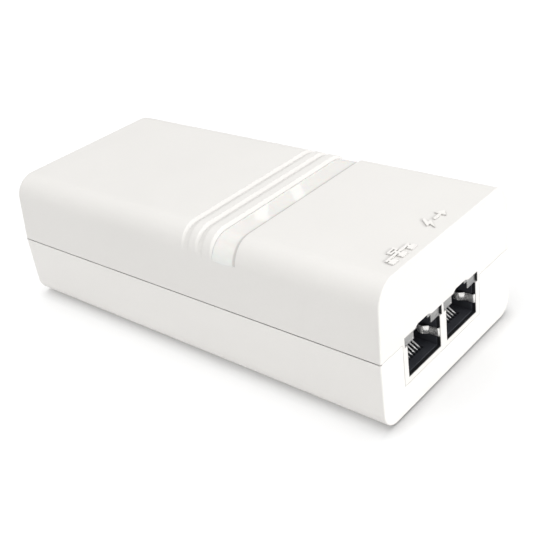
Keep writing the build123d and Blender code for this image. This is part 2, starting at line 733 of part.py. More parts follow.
# ---------------------------------------------------------------- transformer
COIL_X, COIL_Y = 4.85, 2.0
FORMER_Z = (11.9, 22.3)            # outer faces of the bobbin flanges
FLANGE_T = 0.8
COIL_Z = (FORMER_Z[0] + FLANGE_T, FORMER_Z[1] - FLANGE_T)
TUBE = (around(COIL_X, 5.35), around(COIL_Y, 3.6))
FLANGE_HALF = 8.35

with BuildPart() as transformer_core:
    block(around(COIL_X, 4.5), around(COIL_Y, 11.0), (8.6, 25.6))
    for side in (-1, 1):
        cut_block((-1, 11), beside(COIL_Y, side, 2.75, 7.8), (11.8, 22.4))
save(transformer_core, "transformer_core")

with BuildPart() as transformer_bobbin:
    block(*TUBE, FORMER_Z)
    for flange_z in ((FORMER_Z[0], COIL_Z[0]), (COIL_Z[1], FORMER_Z[1])):
        block(around(COIL_X, FLANGE_HALF), around(COIL_Y, 7.6), flange_z)
    for side in (-1, 1):
        block(
            beside(COIL_X, side, 5.05, FLANGE_HALF), around(COIL_Y, 8.5), (PCB_TOP, COIL_Z[0])
        )
    cut_block(around(COIL_X, 4.55), around(COIL_Y, 2.8), (5, 30))
    tails(around(COIL_X, 6.75), [COIL_Y + offset for offset in (-7.0, -2.4, 2.4, 7.0)])
save(transformer_bobbin, "transformer_bobbin")

with BuildPart() as transformer_winding:
    block(around(COIL_X, 7.75), around(COIL_Y, 7.3), COIL_Z)
    fillet(transformer_winding.edges().filter_by(Axis.Z), 2.4)
    cut_block(*TUBE, (5, 30))
save(transformer_winding, "transformer_winding")

# ------------------------------------------------- power devices, heat sinks
DEVICE_HOLE_Z = 23.4
SINK_T = 1.5
# (prefix, device name, side, x of the sink's inner face, device y, sink y span, sink tails y)
SINKS = (
    ("primary", "primary_switch", 1, 19.6, 8.0, (-2.0, 26.0), (0.0, 20.0)),
    ("secondary", "output_rectifier", -1, -19.8, -14.0, (-24.0, -4.0), (-22.0, -6.0)),
)

for prefix, device_name, side, inner, y, sink_y, tails_y in SINKS:
    with BuildPart() as device:
        # tab, body, tab hole and legs
        block(beside(inner, side, 0, -1.3), around(y, 5), (11.0, 26.4))
        block(beside(inner, side, -1.3, -4.5), around(y, 5), (11.0, 19.8))
        rod_x(beside(inner, side, 1, -2.3), y, DEVICE_HOLE_Z, 1.9, mode=Mode.SUBTRACT)
        tails((inner - side * 2.6,), (y - 2.54, y, y + 2.54), top=11.5)
    save(device, device_name)

    with BuildPart() as heatsink:
        block(beside(inner, side, 0, SINK_T), sink_y, (PCB_TOP, 26.6))
        rod_x(beside(inner, side, -0.6, 2.4), y, DEVICE_HOLE_Z, 1.5, mode=Mode.SUBTRACT)
        tails((inner + side * SINK_T / 2,), tails_y, 0.6)
    save(heatsink, prefix + "_heatsink")

with BuildPart() as heatsink_screws:
    for _, _, side, inner, y, _, _ in SINKS:
        rod_x(beside(inner, side, -3.3, -1.3), y, DEVICE_HOLE_Z, 2.7)
        rod_x(beside(inner, side, -1.6, 2.7), y, DEVICE_HOLE_Z, 1.45)
    for _, _, side, inner, y, _, _ in SINKS:
        cut_block(beside(inner, side, -4.6, -2.4), around(y, 1.6), around(DEVICE_HOLE_Z, 0.3))
save(heatsink_screws, "heatsink_screws")

# ------------------------------------------------------------ output section
OUTPUT_CAPS = ((-6.5, -13.2), (-10.0, -24.2))
with BuildPart() as output_capacitors:
    posts(OUTPUT_CAPS, (PCB_TOP, 26.6), 5.0)
    fillet(output_capacitors.edges().group_by(Axis.Z)[-1], 0.5)
    for x, y in OUTPUT_CAPS:
        post(x, y, (26.4, 28), 4.0, mode=Mode.SUBTRACT)
        tails(around(x, 2.5), (y,))
save(output_capacitors, "output_capacitors")

INDUCTOR_X, INDUCTOR_Y = 5.5, -16.6
SPOOL_Z = (8.2, 15.4)              # between the flanges of the inductor core
SPOOL_R = 2.5
with BuildPart() as output_inductor_core:
    post(INDUCTOR_X, INDUCTOR_Y, (PCB_TOP, SPOOL_Z[0]), 5.4)
    post(INDUCTOR_X, INDUCTOR_Y, SPOOL_Z, SPOOL_R)
    post(INDUCTOR_X, INDUCTOR_Y, (SPOOL_Z[1], 17.0), 5.4)
    tails(around(INDUCTOR_X, 3.0), (INDUCTOR_Y,), top=7.2)
save(output_inductor_core, "output_inductor_core")

with BuildPart() as output_inductor_winding:
    ring(INDUCTOR_X, INDUCTOR_Y, SPOOL_Z, 4.9, SPOOL_R)
save(output_inductor_winding, "output_inductor_winding")

with BuildPart() as poe_controller:
    block(around(10.8, 3.4), around(-26.6, 3.4), (PCB_TOP, PCB_TOP + 0.9))
    fillet(poe_controller.edges().filter_by(Axis.Z), 0.15)
save(poe_controller, "poe_controller")

with BuildPart() as data_transformer:
    block((-5.4, 7.0), around(-31.2, 3.2), (PCB_TOP + 0.2, PCB_TOP + 6.0))
    for i in range(8):
        block(around(-3.65 + i * 1.27, 0.2), around(-31.2, 3.7), (PCB_TOP, PCB_TOP + 0.4))
save(data_transformer, "data_transformer")

with BuildPart() as status_leds:
    for x in LIGHTS_X:
        block(around(x, 1.0), around(LIGHT_Y, 0.6), (PCB_TOP, PCB_TOP + 0.8))
save(status_leds, "status_leds")

with BuildPart() as light_guides:
    for x in LIGHTS_X:
        post(x, LIGHT_Y, (8.0, 32.85), 1.5)
        post(x, LIGHT_Y, (30.2, CEIL_Z - 1.0), 1.95)
save(light_guides, "light_guides")

# (node, height, (x, y) places) of the small surface-mount parts
CHIPS = (
    ("resistors", 0.55, (
        (-13.5, -33.2), (-10.5, -33.2), (12.4, -33.0), (-1.0, -25.9),
        (1.5, -25.9), (4.0, -25.9), (-2.0, 16.0), (1.0, 14.6),
    )),
    ("ceramic_capacitors", 0.9, (
        (-7.6, -33.2), (-13.5, -31.2), (9.6, -33.0), (-1.0, -23.8),
        (1.5, -23.8), (4.0, -23.8), (16.0, -10.5), (12.6, -12.2),
    )),
)
for name, height, places in CHIPS:
    with BuildPart() as chips:
        for x, y in places:
            block(around(x, 1.0), around(y, 0.6), (PCB_TOP, PCB_TOP + height))
    save(chips, name)

# ------------------------------------------------------ board and insulation
with BuildPart() as main_pcb:
    block((-22.3, 22.3), (-55.2, 54.5), PCB_Z)
    for x, y in SCREWS:
        edge_notch(x, y, 4.7, (4, 8))
    posts(PCB_SCREWS, (4, 8), 1.2, mode=Mode.SUBTRACT)
    with BuildSketch(Plane.XY.offset(PCB_Z[0])):
        for x, y, radius in board_holes:
            with Locations((x, y)):
                Circle(radius)
        for slot_x, slot_y in board_slots:
            rect(sum(slot_x) / 2, sum(slot_y) / 2, slot_x[1] - slot_x[0], slot_y[1] - slot_y[0])
    extrude(amount=PCB_Z[1] - PCB_Z[0], mode=Mode.SUBTRACT)
save(main_pcb, "main_pcb")

with BuildPart() as insulation_sheet:
    block((-21.6, 21.6), (-54.6, 54.2), (FLOOR_Z, FLOOR_Z + 0.3))
    for x, y in SCREWS:
        edge_notch(x, y, 4.6, (2, 4))
    for x, y in PCB_SCREWS + SUPPORTS:
        edge_notch(x, y, 2.8, (2, 4))
save(insulation_sheet, "insulation_sheet")
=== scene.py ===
"""Network power injector: a white two-part case standing on a studio floor.

+Z is up and the floor lies just below z = 0. The case is long in Y, with both jacks in its front
end (-Y): LAN on the -X side, PoE on the +X side. A pale window band wraps over the top.
Detailed meshes replace the band, the contact wires and the ground springs; the other CAD pieces
only get materials. Lengths are in mm where they are multiplied by MM, otherwise in metres.
"""
import json
from math import pi, radians, sin, cos, tan

import bmesh
import bpy
from mathutils import Matrix, Vector


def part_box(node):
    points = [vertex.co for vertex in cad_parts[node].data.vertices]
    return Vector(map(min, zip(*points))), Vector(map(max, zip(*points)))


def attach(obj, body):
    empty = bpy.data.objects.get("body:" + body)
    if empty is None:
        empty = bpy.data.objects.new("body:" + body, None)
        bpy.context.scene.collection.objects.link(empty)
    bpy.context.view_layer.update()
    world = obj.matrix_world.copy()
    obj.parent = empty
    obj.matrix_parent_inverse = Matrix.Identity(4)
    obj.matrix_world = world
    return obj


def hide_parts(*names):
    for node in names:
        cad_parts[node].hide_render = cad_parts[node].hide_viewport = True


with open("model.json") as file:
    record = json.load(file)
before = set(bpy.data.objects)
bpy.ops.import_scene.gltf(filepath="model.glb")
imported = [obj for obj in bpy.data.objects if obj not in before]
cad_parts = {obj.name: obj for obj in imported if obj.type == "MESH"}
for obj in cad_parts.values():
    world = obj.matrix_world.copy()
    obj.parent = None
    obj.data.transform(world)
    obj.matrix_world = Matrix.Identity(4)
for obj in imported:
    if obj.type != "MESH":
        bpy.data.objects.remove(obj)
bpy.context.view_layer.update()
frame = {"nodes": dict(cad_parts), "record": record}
MM = 0.001
scene = bpy.context.scene
MATERIALS = {}


# --------------------------------------------------------------- node helpers
class Graph:
    """Short calls for the nodes of one shader tree."""

    def __init__(self, owner):
        owner.use_nodes = True
        self.tree = owner.node_tree
        self.tree.nodes.clear()

    def put(self, socket, value):
        """Link an output to the socket, or set the socket's value."""
        if hasattr(value, "is_output"):
            self.tree.links.new(value, socket)
        elif socket.type == "RGBA":
            socket.default_value = (*value, 1.0)
        else:
            socket.default_value = value

    def node(self, kind, inputs, **props):
        """Add a node and return its outputs."""
        node = self.tree.nodes.new(kind)
        for key, value in props.items():
            setattr(node, key, value)
        for key, value in inputs.items():
            self.put(node.inputs[key], value)
        return node.outputs

    def math(self, operation, a, b=0.0, clamp=False):
        return self.node("ShaderNodeMath", {0: a, 1: b}, operation=operation, use_clamp=clamp)[0]

    def add(self, a, b):
        return self.math("ADD", a, b)

    def scaled(self, value, by):
        return self.math("MULTIPLY", value, by)

    def dot(self, a, b):
        return self.node("ShaderNodeVectorMath", {0: a, 1: b}, operation="DOT_PRODUCT")["Value"]

    def remap(self, value, start=0.3, end=0.7, low=0.0, high=1.0, curve="LINEAR"):
        """Run from `low` to `high` while the value goes from `start` to `end`."""
        inputs = {"Value": value, "From Min": start, "From Max": end, "To Min": low, "To Max": high}
        return self.node("ShaderNodeMapRange", inputs, clamp=True, interpolation_type=curve)["Result"]


class Material(Graph):
    """Principled material with object coordinates, entered in MATERIALS."""

    INPUTS = {
        "color": "Base Color", "rough": "Roughness", "metal": "Metallic", "normal": "Normal",
        "coat": "Coat Weight", "coat_rough": "Coat Roughness", "ior": "IOR",
        "trans": "Transmission Weight", "sss": "Subsurface Weight",
        "sss_scale": "Subsurface Scale", "spec": "Specular IOR Level",
        "emit": "Emission Color", "emit_strength": "Emission Strength",
    }

    def __init__(self, name):
        MATERIALS[name] = bpy.data.materials.new(name)
        super().__init__(MATERIALS[name])
        output = self.tree.nodes.new("ShaderNodeOutputMaterial")
        self.bsdf = self.tree.nodes.new("ShaderNodeBsdfPrincipled")
        self.put(output.inputs["Surface"], self.bsdf.outputs["BSDF"])
        self.coord = self.node("ShaderNodeTexCoord", {})["Object"]

    def set(self, **values):
        for key, value in values.items():
            self.put(self.bsdf.inputs[self.INPUTS[key]], value)

    def noise(self, scale, detail=4.0, rough=0.6, stretch=None, turn=0.0):
        """Noise; `stretch` scales the axes (small is long), `turn` rotates them about Z."""
        vector = self.coord
        if stretch:
            mapping = {"Vector": vector, "Scale": stretch, "Rotation": (0, 0, turn)}
            vector = self.node("ShaderNodeMapping", mapping)["Vector"]
        inputs = {"Vector": vector, "Scale": scale, "Detail": detail, "Roughness": rough}
        return self.node("ShaderNodeTexNoise", inputs)["Fac"]

    def fine(self, scale):
        """Noise with less small detail."""
        return self.noise(scale, detail=3.0, rough=0.5)

    def voronoi(self, scale, feature="F1"):
        inputs = {"Vector": self.coord, "Scale": scale}
        return self.node("ShaderNodeTexVoronoi", inputs, feature=feature)["Distance"]

    def wave(self, pitch, distort, profile="SIN"):
        """Bands stacked along Z; pitch in mm."""
        inputs = {"Vector": self.coord, "Scale": 1.0 / (pitch * MM) / 2.0, "Distortion": distort}
        return self.node("ShaderNodeTexWave", inputs, bands_direction="Z", wave_profile=profile)["Fac"]

    def mix(self, factor, base, over):
        return self.node("ShaderNodeMix", {0: factor, 6: base, 7: over}, data_type="RGBA")[2]

    def mottle(self, noise, color, dark, light):
        """Color that wanders between a darker and a lighter shade."""
        return self.mix(self.remap(noise), shade(color, dark), shade(color, light))

    def bump(self, height, depth, strength=1.0, normal=None):
        """Bumped normal; depth in mm."""
        inputs = {"Strength": strength, "Distance": depth * MM, "Height": height}
        if normal is not None:
            inputs["Normal"] = normal
        return self.node("ShaderNodeBump", inputs)["Normal"]

    def rounded(self, radius):
        """Normal with edges rounded to a radius in mm."""
        return self.node("ShaderNodeBevel", {"Radius": radius * MM}, samples=4)["Normal"]

    def edge(self, radius):
        """1 along edges and 0 on open faces, with the rounded normal."""
        normal = self.rounded(radius)
        same = self.dot(normal, self.node("ShaderNodeNewGeometry", {})["Normal"])
        return self.remap(same, start=0.80, end=0.995, low=1.0, high=0.0), normal

    def recess(self, distance, near=0.45, far=0.92):
        """1 in narrow corners and at the foot of steps, 0 on open faces; distance in mm."""
        open_sky = self.node("ShaderNodeAmbientOcclusion", {"Distance": distance * MM}, samples=6)
        return self.remap(open_sky["AO"], start=near, end=far, low=1.0, high=0.0)

    def split(self, vector):
        return self.node("ShaderNodeSeparateXYZ", {0: vector})

    def position(self, axis):
        return self.split(self.coord)[axis]

    def facing(self):
        """X, Y and Z of the surface normal."""
        return self.split(self.node("ShaderNodeNewGeometry", {})["Normal"])


def shade(color, factor):
    return tuple(min(1.0, x * factor) for x in color)


# ------------------------------------------------------------------ materials
def moulded(name, color, rough, var, grain=5200, edge_radius=0.18, edge_highlight_gain=1.05, patch=35,
            recess_shade=0.0, highlight_from=None):
    """Grained moulded plastic with painted light: shade painted into recesses and at the foot of
    steps, a painted highlight on parts above the given height (mm) and along edges.
    """
    m = Material(name)
    blotch = m.noise(scale=patch)
    speck = m.noise(scale=grain * 0.35, detail=3)
    tone = m.mottle(blotch, color, dark=1 - var, light=1 + var * 0.6)
    tone = m.mix(m.remap(speck, start=0.35, end=0.65, high=0.35), tone, shade(color, 1 - var * 1.6))
    edge, normal = m.edge(edge_radius)
    # Painted highlight: edges are lighter, as if catching the light.
    tone = m.mix(m.scaled(edge, by=0.35), tone, shade(color, edge_highlight_gain))
    # Painted shade: darker in narrow recesses and at the foot of steps, where shade falls.
    if recess_shade:
        tone = m.mix(m.scaled(m.recess(distance=0.55), by=recess_shade), tone, shade(color, 0.45))
    # Painted highlight: raised marks above the given height are paler, as if catching the light.
    if highlight_from:
        raised_highlight = m.remap(m.position("Z"), start=highlight_from * MM, end=(highlight_from + 0.05) * MM)
        tone = m.mix(raised_highlight, tone, shade(color, 1.09))
    pits = m.noise(scale=grain, detail=2, rough=0.55)
    cells = m.voronoi(scale=grain * 0.55)
    height = m.add(m.scaled(pits, by=0.7), m.scaled(cells, by=0.5))
    scuff = m.noise(scale=140, detail=5, rough=0.7)
    gloss = m.remap(scuff, start=0.25, end=0.75, low=rough - 0.05, high=rough + 0.06)
    gloss = m.math("SUBTRACT", gloss, m.scaled(edge, by=0.06))
    m.set(color=tone, rough=gloss, normal=m.bump(height, depth=0.010, normal=normal))


def jack_plastic():
    """Glass-filled black plastic; the front collar is painted near black as shade, and the edges carry
    a painted highlight.
    """
    m = Material("jack_plastic")
    inner = (0.034, 0.036, 0.043)
    # Painted shade: the front collar is near black, standing in for the shadow gap between the case
    # and the housing.
    rim_shade = (0.009, 0.009, 0.010)
    blotch = m.noise(scale=120)
    fibre = m.noise(scale=3600, detail=3, stretch=(1, 0.35, 1))
    collar = m.remap(m.position("Y"), start=-56.25 * MM, end=-56.15 * MM, low=1.0, high=0.0)
    tone = m.mottle(blotch, inner, dark=0.85, light=1.15)
    tone = m.mix(m.remap(fibre, start=0.55, end=0.75, high=0.4), tone, shade(inner, 1.6))
    edge, normal = m.edge(radius=0.10)
    # Painted highlight: the housing's edges are much lighter, as if catching the light.
    tone = m.mix(m.scaled(edge, by=0.5), tone, shade(inner, 2.6))
    tone = m.mix(collar, tone, rim_shade)
    m.set(color=tone, rough=m.remap(blotch, start=0.25, end=0.75, low=0.42, high=0.55),
          normal=m.bump(fibre, depth=0.006, normal=normal), spec=0.35)


# Axis scales that draw the noise out into rolling lines.
ALONG_Y = (1, 0.04, 1)
ALONG_Z = (1, 1, 0.04)
NO_LINES = (1, 1, 1)


def metal(name, color, rough, brush=ALONG_Z, var=0.06, scratch=0.35, depth=0.004,
          edge_radius=0.06, edge_highlight_gain=1.15, spots=0.0, metallic=1.0, grain=5200):
    """Plated or bare metal; `spots` is the strength of the dull patches. Edges carry a painted
    highlight.
    """
    m = Material(name)
    lines = m.noise(scale=grain, stretch=brush)
    cloud = m.noise(scale=220)
    tone = m.mottle(cloud, color, dark=1 - var, light=1 + var)
    tone = m.mix(m.remap(lines, high=scratch), tone, shade(color, 0.78))
    if spots:
        dull = m.noise(scale=900, detail=5, rough=0.7)
        tone = m.mix(m.remap(dull, start=0.62, end=0.75, high=spots), tone, shade(color, 0.45))
    edge, normal = m.edge(edge_radius)
    # Painted highlight along edges.
    tone = m.mix(m.scaled(edge, by=0.5), tone, shade(color, edge_highlight_gain))
    gloss = m.remap(cloud, start=0.25, end=0.75, low=rough - 0.06, high=rough + 0.10)
    gloss = m.add(gloss, m.scaled(m.math("SUBTRACT", lines, 0.5), by=0.12))
    m.set(color=tone, rough=gloss, metal=metallic,
          normal=m.bump(lines, depth, strength=0.8, normal=normal))


def rubber():
    m = Material("rubber")
    dust = m.noise(scale=2600, rough=0.65)
    tone = m.mottle(m.noise(scale=160), (0.030, 0.030, 0.031), dark=0.85, light=1.25)
    tone = m.mix(m.remap(dust, start=0.58, end=0.75, high=0.35), tone, (0.25, 0.25, 0.24))
    m.set(color=tone, rough=m.remap(dust, low=0.72, high=0.9), normal=m.bump(dust, depth=0.02))


def board():
    """Green solder mask over raised tracks, bare laminate on the sides."""
    m = Material("pcb")
    cells = m.voronoi(scale=190, feature="DISTANCE_TO_EDGE")
    tracks = m.remap(cells, start=0.05, end=0.07)
    weave = m.fine(scale=2400)
    tone = m.mix(tracks, (0.012, 0.095, 0.040), (0.018, 0.155, 0.060))
    tone = m.mix(m.remap(weave, start=0.35, end=0.65, high=0.4), tone, (0.012, 0.11, 0.05))
    upright = m.math("ABSOLUTE", m.facing()["Z"])
    side = m.remap(upright, start=0.4, end=0.6, low=1, high=0)
    tone = m.mix(side, tone, (0.42, 0.36, 0.20))
    height = m.add(m.scaled(tracks, by=0.8), m.scaled(weave, by=0.2))
    m.set(color=tone, rough=m.remap(weave, low=0.22, high=0.38),
          normal=m.bump(height, depth=0.03), coat=0.35)


def winding():
    """Turns of enamelled copper wire."""
    m = Material("copper")
    color = (0.62, 0.27, 0.12)
    pitch = 0.9
    turns = m.wave(pitch, distort=0.6)
    cloud = m.noise(scale=900)
    # Painted shade: darker in the creases between the turns.
    tone = m.mix(m.remap(turns, start=0.0, end=0.6), shade(color, 0.35), color)
    tone = m.mix(m.remap(cloud, start=0.4, high=0.4), tone, shade(color, 1.35))
    m.set(color=tone, rough=m.remap(cloud, low=0.23, high=0.43), metal=0.65,
          normal=m.bump(turns, depth=pitch * 0.35), coat=0.4)


def dipped(name, color, rough=0.22):
    """Lacquer-dipped component body."""
    m = Material(name)
    swell = m.noise(scale=420)
    speck = m.fine(scale=2600)
    tone = m.mottle(swell, color, dark=0.8, light=1.2)
    height = m.add(m.scaled(swell, by=0.8), m.scaled(speck, by=0.1))
    m.set(color=tone, rough=m.remap(speck, low=rough, high=rough + 0.12),
          normal=m.bump(height, depth=0.12, normal=m.rounded(radius=0.5)), coat=0.5)


def sleeve():
    """Shrink sleeve with a pale stripe on the +X side and a bare metal lid on top."""
    m = Material("can")
    cloud = m.noise(scale=300)
    speck = m.fine(scale=3000)
    facing = m.facing()
    tone = m.mottle(cloud, (0.030, 0.034, 0.085), dark=0.85, light=1.2)
    tone = m.mix(m.remap(facing["X"], start=0.86, end=0.90), tone, (0.45, 0.46, 0.48))
    lid = m.remap(facing["Z"], start=0.8, end=0.9)
    tone = m.mix(lid, tone, (0.62, 0.63, 0.64))
    m.set(color=tone, rough=m.remap(speck, low=0.22, high=0.34), metal=m.scaled(lid, by=0.9),
          normal=m.bump(speck, depth=0.01), coat=0.3)


def ferrite():
    m = Material("ferrite")
    grit = m.noise(scale=2200, detail=5, rough=0.7)
    grains = m.voronoi(scale=3200)
    tone = m.mix(m.remap(grit), (0.030, 0.030, 0.033), (0.085, 0.085, 0.090))
    sparkle = m.remap(grains, start=0.0, end=0.12, low=0.4, high=0)
    tone = m.mix(sparkle, tone, (0.25, 0.25, 0.26))
    m.set(color=tone, rough=m.remap(grit, low=0.45, high=0.65), normal=m.bump(grit, depth=0.03))


def tape():
    """Yellow tape in overlapping wraps."""
    m = Material("tape")
    color = (0.66, 0.46, 0.06)
    wrap = m.wave(pitch=4.4, distort=0.4, profile="SAW")
    cloud = m.noise(scale=700)
    speck = m.noise(scale=4200, detail=2, rough=0.5)
    tone = m.mix(m.remap(wrap, start=0.9, end=1.0, high=0.6), color, shade(color, 0.55))
    tone = m.mix(m.remap(cloud, start=0.4, high=0.35), tone, shade(color, 1.25))
    height = m.add(wrap, m.scaled(cloud, by=0.5))
    m.set(color=tone, rough=m.remap(speck, low=0.18, high=0.32),
          normal=m.bump(height, depth=0.05), coat=0.3)


def clear(name, color, rough, trans):
    """Transparent plastic."""
    m = Material(name)
    cloud = m.noise(scale=500)
    speck = m.noise(scale=3800, detail=3, rough=0.5)
    m.set(color=m.mottle(cloud, color, dark=0.95, light=1.0),
          rough=m.remap(speck, low=rough, high=rough + 0.05), trans=trans, ior=1.49,
          normal=m.bump(cloud, depth=0.004))


def label():
    """Pale paper with a thin dark line printed around it."""
    m = Material("label")
    half_width, half_length = 14.0, 21.0  # outer edge of the line, mm
    line, blur = 0.2, 0.05                # its width and softness, mm
    fibre = m.noise(scale=3600, stretch=(1, 0.3, 1))
    cloud = m.noise(scale=90)
    x, y = m.position("X"), m.position("Y")

    def outside(inset):
        """1 outside the rectangle that lies `inset` within the line's outer edge."""
        sides = []
        for place, half in ((x, half_width), (y, half_length)):
            away = m.math("ABSOLUTE", place)
            reach = half - inset
            sides.append(m.remap(away, start=(reach - blur) * MM, end=(reach + blur) * MM))
        return m.math("MAXIMUM", *sides)

    border = m.math("SUBTRACT", outside(line), outside(0.0), clamp=True)
    tone = m.mix(m.remap(cloud), (0.70, 0.70, 0.69), (0.76, 0.76, 0.75))
    tone = m.mix(m.remap(fibre, start=0.4, high=0.25), tone, (0.62, 0.62, 0.61))
    tone = m.mix(border, tone, (0.16, 0.16, 0.17))
    m.set(color=tone, rough=m.remap(fibre, low=0.36, high=0.5),
          normal=m.bump(fibre, depth=0.008), coat=0.15)


def window():
    """Polished milky polycarbonate with hairlines and painted shade along its front (-Y) edge."""
    m = Material("window")
    cloud = m.noise(scale=260, rough=0.55)
    speck = m.fine(scale=2600)
    hair = m.noise(scale=2600, stretch=(0.03, 1, 1), turn=0.3)
    tone = m.mix(m.remap(cloud), (0.746, 0.729, 0.700), (0.770, 0.752, 0.722))
    # Painted shade: a dark margin along the front edge, standing in for the shadow at the step into
    # the case.
    rim_shade = m.remap(m.position("Y"), start=-20.15 * MM, end=-19.75 * MM, low=0.45, high=0.0)
    tone = m.mix(rim_shade, tone, (0.30, 0.29, 0.275))
    gloss = m.add(m.remap(speck, low=0.020, high=0.035),
                  m.remap(hair, start=0.66, end=0.74, high=0.10))
    m.set(color=tone, rough=gloss, normal=m.bump(cloud, depth=0.004), coat=0.8,
          coat_rough=0.012, sss=0.12, sss_scale=0.0015)


moulded("cover_white", (0.700, 0.686, 0.663), rough=0.47, var=0.018, recess_shade=0.5, highlight_from=34.55)
# Both covers are one white plastic; the lower cover's lighter colour is painted light, standing in for
# the extra light its sides get from the floor.
moulded("cover_white_lower", (0.752, 0.737, 0.713), rough=0.49, var=0.020, recess_shade=0.5)
window()
rubber()
metal("steel", (0.56, 0.56, 0.55), rough=0.30, brush=NO_LINES, grain=1800, spots=0.2)
label()
board()
# black_plastic carries a strong painted highlight along its edges.
moulded("black_plastic", (0.020, 0.021, 0.024), rough=0.42, var=0.25, grain=3800,
        edge_radius=0.12, edge_highlight_gain=1.8, patch=90)
jack_plastic()
# nickel is a darkened copy of the plating: painted shade for the darker surroundings the shield plates
# reflect; its strong edge gain paints highlights along the plate edges.
metal("nickel", (0.37, 0.37, 0.365), rough=0.30, var=0.12, edge_highlight_gain=2.4, edge_radius=0.20,
      spots=0.3)
metal("nickel_bright", (0.88, 0.87, 0.85), rough=0.24, scratch=0.25, depth=0.0006,
      metallic=0.80, grain=900)
metal("tin", (0.97, 0.965, 0.95), rough=0.25, brush=ALONG_Y, scratch=0.10, depth=0.0006,
      metallic=0.6, grain=900)
metal("brass", (0.78, 0.74, 0.63), rough=0.26, brush=ALONG_Y)
metal("aluminium", (0.66, 0.67, 0.68), rough=0.34)
sleeve()
ferrite()
winding()
tape()
dipped("film_yellow", (0.62, 0.42, 0.05), rough=0.28)
dipped("ceramic_blue", (0.03, 0.10, 0.32))
dipped("ceramic_green", (0.05, 0.16, 0.08), rough=0.4)
clear("guide", (0.93, 0.96, 0.97), rough=0.04, trans=0.9)
clear("film", (0.86, 0.86, 0.82), rough=0.2, trans=0.55)
dipped("chip_tan", (0.36, 0.26, 0.16), rough=0.45)

# The jack housings get their own plastic, every other piece the one in its record.
paint = {entry["node"]: entry["material_slot"] for entry in frame["record"]["subparts"]}
paint.update(lan_jack_housing="jack_plastic", poe_jack_housing="jack_plastic")
for node_name, obj in frame["nodes"].items():
    obj.data.materials.clear()
    obj.data.materials.append(MATERIALS[paint[node_name]])


# --------------------------------------------------------------- mesh helpers
def skin(bm, rings):
    """Side faces through closed rings of equal length, in mm; returns the two end rings."""
    rows = [[bm.verts.new((x * MM, y * MM, z * MM)) for x, y, z in ring] for ring in rings]
    count = len(rows[0])
    for a, b in zip(rows[:-1], rows[1:]):
        for i in range(count):
            k = (i + 1) % count
            bm.faces.new((a[i], a[k], b[k], b[i]))
    return rows[0], rows[-1]


def tube(bm, rings):
    """Skin with both ends capped."""
    first, last = skin(bm, rings)
    bm.faces.new(list(reversed(first)))
    bm.faces.new(last)


def piece(name, bm, material, body, replaced, smooth_angle):
    """Finished object that rides on a body and replaces a CAD piece."""
    mesh = bpy.data.meshes.new(name)
    bmesh.ops.recalc_face_normals(bm, faces=bm.faces)
    bm.to_mesh(mesh)
    bm.free()
    obj = bpy.data.objects.new(name, mesh)
    scene.collection.objects.link(obj)
    mesh.materials.append(MATERIALS[material])
    for polygon in mesh.polygons:
        polygon.use_smooth = True
    mesh.set_sharp_from_angle(angle=radians(smooth_angle))
    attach(obj, body)
    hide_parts(replaced)


# ---------------------------------------------------------------- window band
# Section of the case across X, in mm
CASE_TOP = 34.4
MID_Z = CASE_TOP / 2
HALF_WIDTH = 26       # at MID_Z; the line of the side comes in 1 mm by the top
GROOVE = 0.68         # depth of the groove in the case top
BEND_Z = 27.6         # above this the side leans in by LEAN degrees
LEAN = 5.2
SLOPE = tan(radians(LEAN))
BEND_X = HALF_WIDTH - (BEND_Z - MID_Z) / MID_Z
CORNER_X = BEND_X - (CASE_TOP - GROOVE - BEND_Z) * SLOPE
CORNER_RADIUS = 5.7
CORNER_STEPS = 14
FOOT_DROP = 1.1       # from the bend down to the foot of the side line

# Band surface, in mm below CASE_TOP
FRONT_DEPTH = 0.45
DEPTH_GAIN = 0.25     # how much deeper the back (+Y) end lies
UNDERSIDE = 1.46
END_ROUND = 0.10      # extra depth at the very ends
END_SHARE = 0.035     # share of the length that is rounded at each end
BAND_ROWS = 22


def outline(depth):
    """+X half of the section, `depth` below the case top, and the foot of its side."""
    angle = radians(90 + LEAN)
    centre_x = CORNER_X - CORNER_RADIUS / tan(angle / 2)
    centre_z = CASE_TOP - depth - CORNER_RADIUS
    points = [(centre_x * 0.5, CASE_TOP - depth)]
    for i in range(CORNER_STEPS + 1):
        a = pi / 2 - (pi - angle) * i / CORNER_STEPS
        points.append((centre_x + CORNER_RADIUS * cos(a), centre_z + CORNER_RADIUS * sin(a)))
    return points, (BEND_X + FOOT_DROP * SLOPE, BEND_Z - FOOT_DROP - depth + GROOVE)


def cut_at(a, b, z):
    """Point at height z on the line through a and b."""
    t = (a[1] - z) / (a[1] - b[1])
    return a[0] + (b[0] - a[0]) * t, z


def mirrored(points):
    return [(-x, z) for x, z in points]


def band_mesh():
    lo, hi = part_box("status_band")
    y0, y1, floor_z = lo.y / MM, hi.y / MM, lo.z / MM

    under, foot = outline(UNDERSIDE)
    inner = [p for p in under if p[1] > floor_z]
    under.append(foot)
    k = len(inner)
    inner.append(cut_at(under[k - 1], under[k], floor_z))

    rings = []
    for j in range(BAND_ROWS + 1):
        v = j / BAND_ROWS
        y = y0 + (y1 - y0) * v
        near_front = max(0.0, 1 - v / END_SHARE)
        near_back = max(0.0, 1 - (1 - v) / END_SHARE)
        rounding = END_ROUND * (near_front ** 2 + near_back ** 2)
        outer, foot = outline(FRONT_DEPTH + DEPTH_GAIN * v + rounding)
        if outer[-1][1] > floor_z:
            outer.append(cut_at(outer[-1], foot, floor_z))
        loop = mirrored(outer[::-1]) + outer + inner[::-1] + mirrored(inner)
        rings.append([(x, y, z) for x, z in loop])

    bm = bmesh.new()
    first, last = skin(bm, rings)
    bm.faces.new(first)
    bm.faces.new(list(reversed(last)))
    return bm


piece("window_band", band_mesh(), "window", "injector", "status_band", smooth_angle=35)


